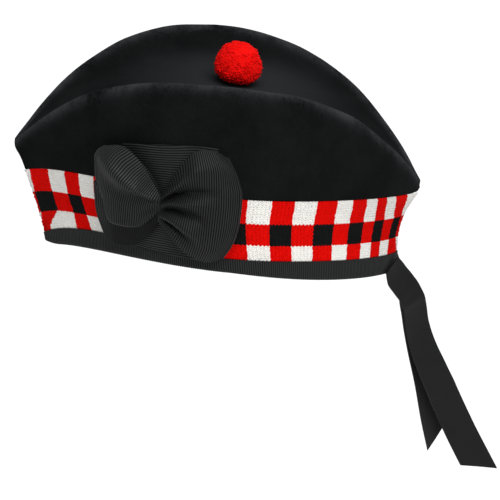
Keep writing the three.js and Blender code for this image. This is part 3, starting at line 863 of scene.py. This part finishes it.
def makeBacking(cloth):
    b = backing
    rows = round(b["length"] / b["cordPitch"]) * b["cordSamples"]
    shares = np.linspace(0, 1, rows + 1)
    share, j = np.meshgrid(shares, np.linspace(0, 1, b["columns"] + 1), indexing="ij")
    y = b["front"] + (b["back"] - b["front"]) * j
    bottom = wallPoint(bindingTop, -2 * y / wall["rimLength"], 1, 0)[..., 2] - b["lap"]
    top = b["topFront"] + (b["topBack"] - b["topFront"]) * j + 4 * b["arch"] * j * (1 - j)
    z = top + (bottom - top) * share
    near, drift, far = b["wanderLengths"]
    wander = b["wander"] * np.sin(y / near + b["wanderDrift"] * np.sin(z / drift)) * np.sin(z / far)
    swellAlong, swellUp = b["swellLengths"]
    grid = overWall(y, z, b["middle"] + b["swell"] * np.sin(y / swellAlong + z / swellUp))
    lines = cordShape(share * b["length"] + wander, b["cordPitch"])
    points, faces, cords = clothSheet(grid, b["thickness"], lines, b["cordHeight"])
    piece = makePiece("cockadeBacking", points, faces, [cloth], "cockade_backing",
                      sharpAngle=edgeAngle, cords=cords)


# Cockade bow: one loop of wide grosgrain pinched in the middle. Its front is folded along lines that fan
# out from the pinch, listed from the upper edge to the lower: along, up and out from the back, at these
# shares.
bow = {
    "pinchY": -37.2,
    "pinchZ": 50,
    "middle": 3.55,
    "shares": (0, 0.2, 0.45, 0.75, 1),
    "bulge": 0.4,  # how far a turned end bulges, as a share of its depth
    "narrow": 0.15,  # how much narrower the back is than the front
    # sharp creases and ridges: number of a line, height, spread in lines, and shares where it fades
    "rightCreases": [(2.0, -2.4, 0.3, 0.5, 0.85), (4.0, -2.4, 0.3, 0.4, 0.7), (6.0, -2.2, 0.3, 0.3, 0.6),
                     (1.0, 1.2, 0.25, 0.45, 0.6), (3.0, 1.0, 0.3, 0.35, 0.6), (5.0, 1, 0.3, 0.35, 0.6)],
    "leftCreases": [(2.0, 1.4, 0.3, 0.6, 1), (2.5, -1.6, 0.3, 0.6, 1), (3.55, -2.2, 0.35, 0.15, 0.3),
                    (4.0, 0.5, 0.35, 0.6, 0.9)],
    "right": [
        [(0, 4.5, 13, 22, 29.5), (5, 17, 32.3, 35.6, 33), (1.9, 4, 5, 4.5, 3.5)],
        [(0, 7.5, 16, 26.5, 34), (3.7, 15.4, 25.3, 27, 25.5), (2.4, 8.5, 11, 8.5, 4.5)],
        [(0, 8, 17, 28, 37), (2.4, 10.5, 13.7, 16, 17), (2, 4.2, 7, 8, 4.8)],
        [(0, 8, 17.5, 28.5, 37.5), (0.5, 5.5, 7, 8, 8), (2.7, 7.5, 10.5, 9.5, 5)],
        [(0, 8, 17.6, 28.5, 37.3), (-2, 0.3, -0.5, -4, -3), (2, 3.6, 7, 9, 5)],
        [(0, 8, 18, 28.5, 36.2), (-4.2, -4.5, -8, -11.5, -11), (2.2, 6.5, 9.5, 9, 5)],
        [(0, 8.6, 18, 28.5, 34.6), (-5.8, -8.6, -13, -17, -17), (2, 3.8, 7.5, 8.5, 4.5)],
        [(0, 7, 17, 26.5, 32.8), (-8, -12.3, -20.6, -24, -22), (1.9, 5, 7, 6, 3.5)],
    ],
    "left": [
        [(0, 4.7, 11, 20, 29.5), (5, 15.1, 23.4, 28.8, 26), (1.9, 3.4, 4.2, 4.2, 3.2)],
        [(0, 6, 14, 23.5, 31.6), (3.7, 12, 19.6, 24.6, 23.4), (2.4, 6.2, 8, 7.2, 4.3)],
        [(0, 6.5, 15.5, 24.5, 32.6), (2.4, 8.6, 15.4, 19.8, 20), (2, 9.5, 12.5, 10.5, 5)],
        [(0, 6.8, 15.5, 23.8, 30.6), (0.5, -1, -1, 1.5, 7), (2.7, 8, 10.5, 9.5, 5.8)],
        [(0, 6, 14.5, 21, 25.2), (-2, -10, -12, -12, -3.5), (2, 8.5, 11, 9, 6)],
        [(0, 5.8, 14.5, 23, 33.4), (-4.2, -11.6, -13.6, -11, 5), (2.2, 2.8, 3, 3.2, 3.4)],
        [(0, 5, 13, 21.5, 30.8), (-5.8, -15.5, -22, -22, -15), (2, 2.5, 2.7, 2.9, 3)],
        [(0, 3.6, 10, 18.5, 24.4), (-8, -17, -26.3, -29.6, -29.4), (1.9, 2.2, 2.4, 2.6, 2.6)],
    ],
    # how clearly the cords stand out down each loop, by number of line: below 1 flatter and painted darker,
    # as painted shade in the folds, above 1 painted lighter, as a painted highlight
    "clearAt": (0, 1.8, 2.2, 4.1, 4.5, 7),
    "rightCordsAndShade": (0.8, 0.85, 0.8, 0.8, 0.8, 1),
    "leftCordsAndShade": (1.25, 1.25, 0.9, 0.85, 0.4, 0.4),
    "dimFrom": (0.72, 0.95),  # shares between which the left loop is painted darker below its first fold, as painted shade where it turns from the light
    "dimLines": (1.8, 2.6),  # between which numbers of line it does so, and how far
    "dim": 0.15,
    "endLines": (4, 4.6),  # between which lines that painted shade ends, and how much lighter and clearer its end is painted again below them
    "endClear": 1.0,
    "thickness": 0.8,
    "cordPitch": 1.3,
    "cordHeight": 0.3,
    "cordSamples": 4,
    "fill": 8,  # columns from one fold to the next
    "soften": 3,  # rounds of softening, and the share of the way in each
    "softenShare": 0.5,
    "creaseFrom": 0.15,  # share of the loop at which a crease is at its full height
    "faceSteps": 161,  # for measuring its length: on each face, and round the end
    "endSteps": 40,
}


# Points of one loop: share runs from the pinch to its end, flat from the front round the end to the back
def bowRows(lines, creases, side, share, flat):
    b = bow
    knots = np.array(b["shares"])
    i = np.clip(np.searchsorted(knots, share, side="right") - 1, 0, len(knots) - 2)
    place = i + (share - knots[i]) / (knots[i + 1] - knots[i])
    folds = np.stack([between(np.array(line, float).T, place) for line in lines], axis=1)
    across = np.linspace(0, len(lines) - 1, (len(lines) - 1) * b["fill"] + 1)
    k = np.minimum(across.astype(int), len(lines) - 2)
    f = (across - k)[None, :, None]
    rows = folds[:, k] * (1 - f) + folds[:, k + 1] * f
    for _ in range(b["soften"]):
        rows[:, 1:-1] += b["softenShare"] * ((rows[:, :-2] + rows[:, 2:]) / 2 - rows[:, 1:-1])
    for number, height, spread, full, gone in creases:
        fade = smoothStep(0, b["creaseFrom"], share) * smoothStep(gone, full, share)
        rows[..., 2] += height * fade[:, None] * bell(across - number, spread)
    swing = math.pi * flat[:, None]
    turned = (1 - np.cos(swing)) / 2
    along = rows[..., 0] + b["bulge"] * rows[..., 2] * np.sin(swing)
    up = rows[..., 1] * (1 - b["narrow"] * turned)
    out = b["middle"] + rows[..., 2] * (1 - turned)
    return overWall(b["pinchY"] + side * along, b["pinchZ"] + up, out)


# One loop, front, end and back, with rows spaced for its cords
def bowLoop(lines, creases, side):
    b = bow
    ahead = np.linspace(0, 1, b["faceSteps"])
    share = np.concatenate([ahead, np.ones(b["endSteps"]), ahead[::-1]])
    turning = np.linspace(0, 1, b["endSteps"] + 2)[1:-1]
    flat = np.concatenate([0 * ahead, turning, np.ones(b["faceSteps"])])
    middle = len(lines) // 2 * b["fill"] - b["fill"] // 2  # the column that is measured
    length = lengthAlong(bowRows(lines, creases, side, share, flat)[:, middle])
    count = round(length[-1] / b["cordPitch"])
    steps = np.linspace(0, length[-1], count * b["cordSamples"] + 1)
    order = np.arange(len(length))
    number = np.interp(steps, length, order)
    shares = np.interp(number, order, share)
    grid = bowRows(lines, creases, side, shares, np.interp(number, order, flat))
    return grid, cordShape(steps, length[-1] / count), shares


def makeBow(cloth):
    b = bow
    right, rightCords, _ = bowLoop(b["right"], b["rightCreases"], 1)
    left, leftCords, leftShares = bowLoop(b["left"], b["leftCreases"], -1)
    grid = np.concatenate([right, left[::-1][1:-1]])[:, ::-1]
    across = np.linspace(len(b["right"]) - 1, 0, grid.shape[1])
    # cords scaled line by line: painted shade in the folds and under the left loop, painted highlight on
    # its upper facet
    rightCordsAndShade = rightCords[:, None] * np.interp(across, b["clearAt"], b["rightCordsAndShade"])
    below = smoothStep(*b["endLines"], across)
    atEnd = smoothStep(*b["dimFrom"], leftShares)[:, None]
    dim = atEnd * (b["dim"] * smoothStep(*b["dimLines"], across) * (1 - below) - b["endClear"] * below)
    leftCordsAndShade = leftCords[:, None] * np.interp(across, b["clearAt"], b["leftCordsAndShade"]) * (1 - dim)
    lines = np.concatenate([rightCordsAndShade, leftCordsAndShade[::-1][1:-1]])
    points, faces, cords = clothSheet(grid, b["thickness"], lines, b["cordHeight"], True)
    piece = makePiece("cockadeBow", points, faces, [cloth], "cockade_bow",
                      sharpAngle=edgeAngle, cords=cords)


# its groove colour is painted shade in the grooves between the cords
cockadeCloth = grosgrain("cockadeGrosgrain", deep="#202121", pale="#2a2b2b", grooveShade="#040404",
                         roughness=0.55, gloss=0.27)
makeBacking(cockadeCloth)
makeBow(cockadeCloth)

# Tails: the two ends of the binding ribbon. Rows: x, y and z of the middle of the ribbon, the slope of its
# width seen from the side, and how far its rear edge swings to the left.
tails = {
    "width": 19,
    "thickness": 0.7,
    "cordPitch": 0.9,
    "cordHeight": 0.28,
    "cordSamples": 4,
    "columns": 14,
    "gather": 0.2,  # share of the width taken in where a tail leaves the binding, and of the length
    "gatherShare": 0.1,
    "slantShare": 0.25,  # share of the length over which the cut end slants
    "curl": 0.5,  # how far the edges curl, and over which shares of the length
    "curlMiddle": 0.4,
    "curlFrom": (0.15, 0.5),
    "creaseEdge": 0.3,  # how much flatter a crease is at the edges
    "cordShade": 0.25,  # its cords are fine and hardly seen
    "measures": 801,
    "left": {
        "slant": 7.5,
        "shine": 1.0,
        "rows": [
            [13.5, 96, 6.5, 42, -52], [12, 99.6, 0, 42, -50], [10.5, 104.3, -5.5, 38, -48],
            [9.5, 109, -11.5, 28, -47], [8.5, 112.8, -20, 12, -44], [8, 115.7, -31, 8, -42],
            [7.5, 121, -44, 14, -38], [6.5, 129.7, -60, 25, -32], [5, 139.8, -78, 30, -26],
            [4, 151, -97, 31, -24], [3, 164.6, -118.5, 32, -20],
        ],
        "creases": [(0.36, 0.7, 0.03), (0.75, 0.6, 0.025)],  # share of the length, height, spread
    },
    "right": {
        "slant": 9,
        "shine": 1.9,  # painted light: cords raised for a lighter, glossier face, lifting the shade the left tail casts on it
        "rows": [
            [-13.5, 96.2, 5.5, 42, 52], [-9.5, 99.5, -1.5, 42, 66], [-6, 103.2, -8.5, 40, 88],
            [-4, 107.5, -15.5, 32, 112], [-3, 113.4, -25, 20, 134], [-3, 119.2, -44, 17, 138],
            [-3, 128, -66.5, 17, 152], [-4, 135.1, -89, 17, 158], [-4.6, 139.5, -102, 17, 160],
        ],
        "creases": [(0.55, 0.4, 0.05)],
    },
}


def makeTail(name, node, own, cloth):
    t = tails
    fine = np.linspace(0, len(own["rows"]) - 1, t["measures"])
    length = lengthAlong(between(own["rows"], fine)[:, :3])
    steps = round(length[-1] / t["cordPitch"]) * t["cordSamples"]
    run = np.linspace(0, length[-1], steps + 1)
    place = np.interp(run, length, fine)
    rows = between(own["rows"], place)
    lean, turn = np.radians(rows[:, 3]), np.radians(rows[:, 4])
    width = np.stack([np.sin(turn), np.cos(turn) * np.cos(lean), np.cos(turn) * np.sin(lean)], axis=-1)
    ahead = unit(np.gradient(rows[:, :3], axis=0))
    share = place / place[-1]
    width = width * (1 - t["gather"] * smoothStep(t["gatherShare"], 0, share))[:, None]
    slip = own["slant"] * smoothStep(1 - t["slantShare"], 1, share)
    across = np.linspace(-1, 1, t["columns"] + 1)[None, :, None]
    reach = width[:, None] * across * t["width"] / 2
    grid = rows[:, None, :3] + reach + ahead[:, None] * across * slip[:, None, None]
    aside = across[..., 0]
    crease = sum(h * bell(share - at, spread) for at, h, spread in own["creases"])
    curl = t["curl"] * (aside**2 - t["curlMiddle"]) * smoothStep(*t["curlFrom"], share)[:, None]
    lift = crease[:, None] * (1 - t["creaseEdge"] * aside**2) + curl
    grid = grid + gridNormals(grid) * lift[..., None]
    cordLine = t["cordShade"] * cordShape(run, t["cordPitch"])
    lines = 1 - t["cordShade"] + cordLine[:, None] + 0 * aside
    points, faces, cords = clothSheet(grid, t["thickness"], lines, t["cordHeight"])
    # painted light on the right tail, lifting the left tail's shade
    cords = cords * own["shine"]
    piece = makePiece(name, points, faces, [cloth], node, sharpAngle=edgeAngle, cords=cords)


# its groove colour is painted shade in the grooves between the cords
tailCloth = grosgrain("tailGrosgrain", deep="#0f0f10", pale="#141415", grooveShade="#0d0d0e",
                      roughness=0.62, gloss=0.16)
makeTail("tailLeft", "tail_left", tails["left"], tailCloth)
makeTail("tailRight", "tail_right", tails["right"], tailCloth)


# Clipped wool yarn, dyed scarlet: open cut ends that let light through, so it glows at the edge and is deep
# red between the tufts
def toorieYarn():
    dyeSize = 2.4
    material, tree = newMaterial("clippedScarletWool")
    place = addNode(tree, "TexCoord").outputs["Object"]
    dye = addNode(tree, "TexNoise", {"Scale": 1000 / dyeSize, "Detail": 3.0}, {"Vector": place})
    color = addNode(tree, "MixRGB", {"Color1": linear("#fb0906"), "Color2": linear("#ff1610")},
                    {"Fac": dye.outputs["Fac"]})
    yarn = addNode(tree, "BsdfPrincipled", {
        "Roughness": 0.85,
        "Specular IOR Level": 0.12,
        "Sheen Weight": 0.15,
        "Sheen Roughness": 0.3,
        "Sheen Tint": linear("#ff8a80"),
    }, {"Base Color": color.outputs["Color"]})
    through = addNode(tree, "BsdfTranslucent", {}, {"Color": color.outputs["Color"]})
    both = addNode(tree, "MixShader", {"Fac": 0.42}, {1: yarn.outputs["BSDF"], 2: through.outputs["BSDF"]})
    addNode(tree, "OutputMaterial", {}, {"Surface": both.outputs["Shader"]})
    return material


# Toorie: bundles of cut yarn bound in the middle, so every end points outwards
toorie = {
    "center": (0, -2.3, 112.1),
    "radius": 13.0,
    "squash": 0.885,  # height against width
    "core": 12.5,
    "tufts": 430,
    "strands": 13,
    "headSpread": 0.03,  # how unevenly the tufts stand, and the strands in a tuft
    "tuftSpread": 0.075,
    "tuftShort": 0.3,  # how far tufts stay below the radius, and how unevenly they and strands are cut
    "tuftUneven": 0.3,
    "strandUneven": 0.22,
    "strandWidth": 0.5,
    "strandCorners": 3,
    "rootAt": 10.4,
    "rootShares": (0.55, 0.45),  # how the root of a strand lies between its tuft's way and its own
    "bendAt": 0.6,  # where along a strand it bends, and how far
    "bend": 0.2,
    "cutAt": 0.99,  # the cut end of a strand: where, how wide, and its point
    "cutWidth": 0.95,
    "cutPoint": 0.1,
    "coreTurns": 48,
    "coreRows": 25,
    "floorHeight": 100.3,  # no yarn hangs below this, where it sits in the trough
    "lumpSize": 13,
    "lumpHeight": 0.4,
    # its outline against a ball: share of its height from the middle, and width there
    "domeAt": (-1, -0.83, -0.64, -0.4, 0, 0.5, 0.79, 1),
    "dome": (1.15, 1.25, 1.2, 1.1, 0.985, 0.92, 1.03, 1.08),
    # where the clipping went deeper: towards the left, the front-to-back way and up, then depth and spread
    "dents": [(0.3, 0.42, 0.85, 1.1, 0.22), (0.4, -0.8, -0.75, 0.9, 0.3)],
}


def makeToorie():
    o = toorie
    golden = math.pi * (3 - math.sqrt(5))
    number = np.arange(o["tufts"])
    rise = 1 - (2 * number + 1) / o["tufts"]
    spoke = np.sqrt(1 - rise**2)
    heads = np.stack([spoke * np.cos(number * golden), spoke * np.sin(number * golden), rise], axis=-1)
    heads = unit(heads + chance.normal(0, o["headSpread"], heads.shape))
    tuftReach = o["radius"] - o["tuftShort"] + chance.normal(0, o["tuftUneven"], o["tufts"])
    tuftReach += softUneven(heads * o["radius"], o["lumpSize"], o["lumpHeight"])
    for left, back, up, depth, spread in o["dents"]:
        away = np.linalg.norm(heads - unit(np.array([left, back, up])), axis=1)
        tuftReach -= depth * bell(away, spread)
    owner = np.repeat(number, o["strands"])
    way = unit(heads[owner] + chance.normal(0, o["tuftSpread"], (len(owner), 3)))
    ofTuft, ofStrand = o["rootShares"]
    root = unit(ofTuft * heads[owner] + ofStrand * way) * o["rootAt"]
    reach = tuftReach[owner] + chance.normal(0, o["strandUneven"], len(owner))
    tip = way * reach[:, None]
    middle = root + (tip - root) * o["bendAt"] + chance.normal(0, o["bend"], tip.shape)
    ahead = unit(tip - root)
    sideways = unit(np.cross(ahead, chance.normal(0, 1, ahead.shape)))
    other = np.cross(ahead, sideways)
    corners = o["strandCorners"]
    angles = (np.arange(corners) * 2 * math.pi / corners)[None, :, None]
    spokes = sideways[:, None] * np.cos(angles) + other[:, None] * np.sin(angles)
    ringAt = [(root, 1.0), (middle, 1.0), (tip * o["cutAt"], o["cutWidth"])]
    rings = [p[:, None] + spokes * o["strandWidth"] * w for p, w in ringAt]
    points = np.concatenate(rings + [(tip + ahead * o["cutPoint"])[:, None]], axis=1)
    strandPoints = points.shape[1]
    points = points.reshape(-1, 3)
    last = (len(ringAt) - 1) * corners
    sides = []
    for ring in range(0, last, corners):
        for i in range(corners):
            j = (i + 1) % corners
            outer = ring + corners
            sides += [(ring + i, ring + j, outer + j), (ring + i, outer + j, outer + i)]
    sides += [(last + i, last + (i + 1) % corners, last + corners) for i in range(corners)]
    faces = (np.array(sides)[None] + (np.arange(len(owner)) * strandPoints)[:, None, None]).reshape(-1, 3)
    # the middle, a ball seen only between the tufts
    turns = np.linspace(0, 2 * math.pi, o["coreTurns"], endpoint=False)
    turn, height = np.meshgrid(turns, np.linspace(0, math.pi, o["coreRows"]), indexing="ij")
    core = np.stack([np.sin(height) * np.cos(turn), np.sin(height) * np.sin(turn), np.cos(height)], axis=-1)
    coreFaces = gridFaces(o["coreTurns"], o["coreRows"], True, len(points))
    coreFaces = np.concatenate([coreFaces[:, :3], coreFaces[:, [0, 2, 3]]])
    points = np.concatenate([points, core.reshape(-1, 3) * o["core"]]) * np.array([1, 1, o["squash"]])
    points[:, :2] *= np.interp(points[:, 2:] / (o["radius"] * o["squash"]), o["domeAt"], o["dome"])
    points = points + np.array(o["center"])
    points[:, 2] = np.maximum(points[:, 2], o["floorHeight"])
    faces = np.concatenate([faces, coreFaces])
    makePiece("yarnToorie", points, faces, [toorieYarn()], "toorie")


makeToorie()

print("glengarry finished")
